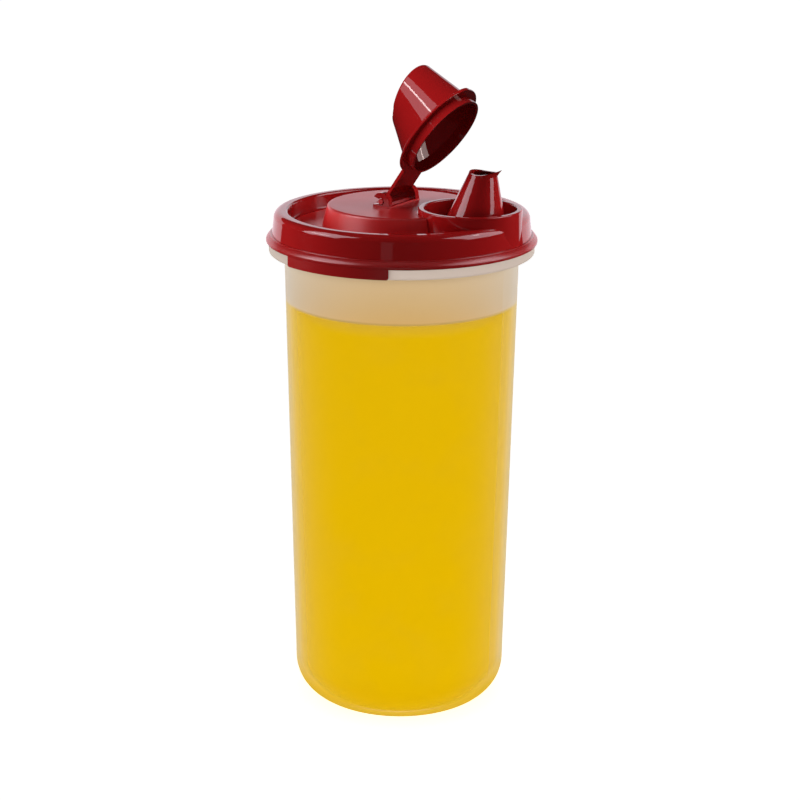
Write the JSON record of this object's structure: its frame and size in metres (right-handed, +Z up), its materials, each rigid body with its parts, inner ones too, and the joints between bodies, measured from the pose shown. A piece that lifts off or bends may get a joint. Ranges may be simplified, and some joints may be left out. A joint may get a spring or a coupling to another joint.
{
  "type": "oil pourer",
  "caption": "Upright frosted bottle of oil with a red press-on lid, an open pouring spout in a round well, and a tall domed cap hinged on the lid.",
  "frame": {"origin": "centre of the bottle's foot, on the ground", "axes": "+Z up along the bottle's axis, +X towards the side the spout pours to, hinge axis along Y"},
  "size_m": [0.1114, 0.1114, 0.2711],
  "materials": {
    "bottle": "frosted",
    "oil": "smooth",
    "lid": "glossy",
    "cap": "glossy"
  },
  "bodies": {
    "bottle": {"bottle": "bottle", "oil": "oil"},
    "lid": {"lid": "lid"},
    "cap": {"flip_cap": "cap"}
  },
  "joints": [
    {"name": "lid_lift", "type": "slide", "parent": "bottle", "child": "lid", "axis": [0, 0, 1], "range_m": [0, 0.03]},
    {"name": "cap_hinge", "type": "hinge", "parent": "lid", "child": "cap", "pos_m": [-0.0029, 0, 0.2163], "axis": [0, -1, 0], "range_deg": [-55.3, 64.7]}
  ]
}
